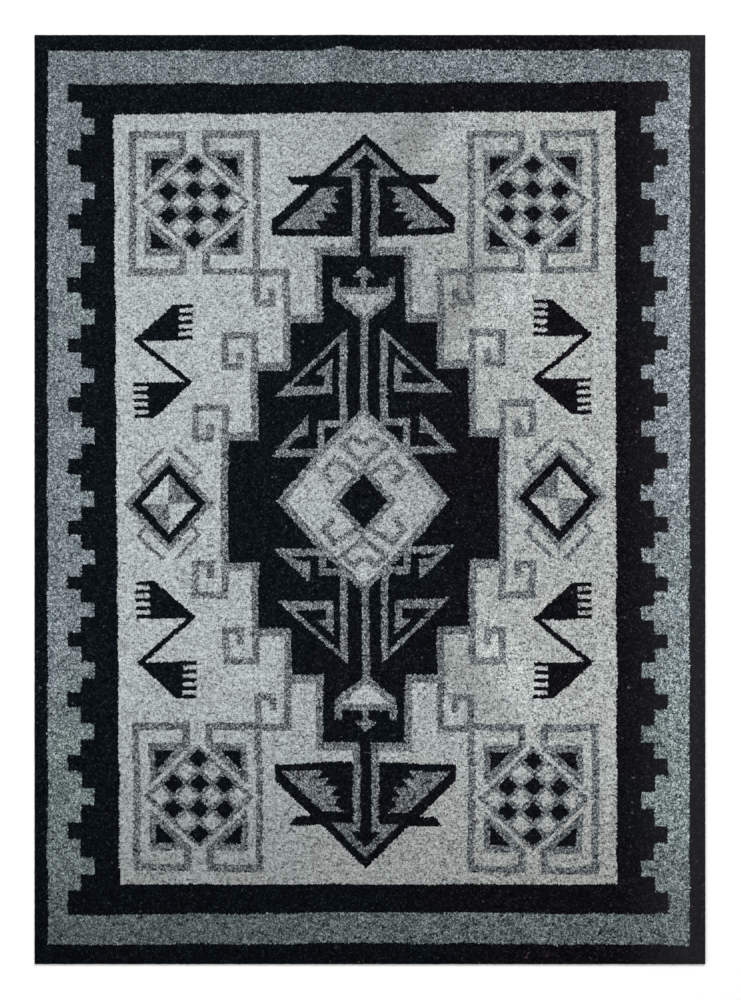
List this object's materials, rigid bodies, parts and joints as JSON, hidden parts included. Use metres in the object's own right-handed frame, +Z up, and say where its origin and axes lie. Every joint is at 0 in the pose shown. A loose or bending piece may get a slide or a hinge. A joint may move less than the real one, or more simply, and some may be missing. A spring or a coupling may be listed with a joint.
{
  "type": "hand-knotted wool pile rug",
  "caption": "Rectangular wool pile rug lying flat, with a stepped medallion, hooked corner figures and a toothed border in black, grey and cream.",
  "frame": {"origin": "centre of the underside, on the floor plane", "axes": "+X across the rug, +Y along its length towards its upper end, +Z up through the pile"},
  "size_m": [1.22, 1.69, 0.0115],
  "materials": {
    "black_wool": "cut pile of black wool",
    "grey_wool": "cut pile of heathered mid-grey wool",
    "cream_wool": "cut pile of pale undyed wool with dark flecks",
    "foundation": "knotted wool on a cotton warp and weft, ribbed on the back"
  },
  "bodies": {
    "root": {"rug": "black_wool"}
  },
  "joints": []
}
